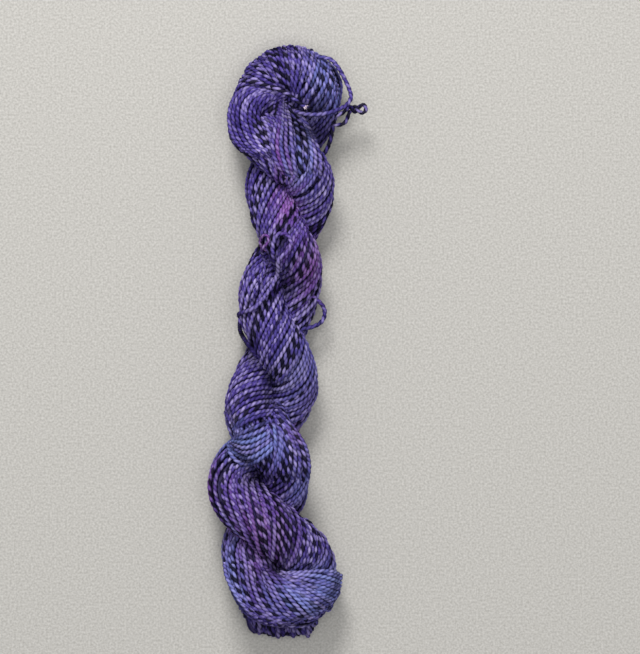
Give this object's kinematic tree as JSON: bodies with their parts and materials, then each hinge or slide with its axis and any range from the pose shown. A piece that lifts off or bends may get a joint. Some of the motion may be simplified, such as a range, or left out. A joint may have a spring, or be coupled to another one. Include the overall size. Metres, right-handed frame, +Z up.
{
  "type": "twisted hank of yarn",
  "caption": "Small hank of hand-dyed yarn, twisted hard, folded on itself as a rope and locked by tucking one end through the other.",
  "frame": {"origin": "under the middle of the hank, on the surface it lies on", "axes": "+Y along the hank towards its rounded head, +Z up from the surface, +X to the right when it is seen from above with the head away from the viewer"},
  "size_m": [0.058, 0.2158, 0.0271],
  "materials": {
    "hand_dyed_yarn": "matt plied yarn in violet, lavender, indigo and magenta, many strands marled with black",
    "marled_yarn": "matt yarn of one black and one lavender ply",
    "tie_thread": "matt pinkish thread"
  },
  "bodies": {
    "root": {"hank": "hand_dyed_yarn", "head_loop": "hand_dyed_yarn", "head_tie": "marled_yarn", "head_snarl": "marled_yarn", "waist_loop": "hand_dyed_yarn", "waist_knot": "tie_thread", "side_loop": "hand_dyed_yarn"}
  },
  "joints": []
}
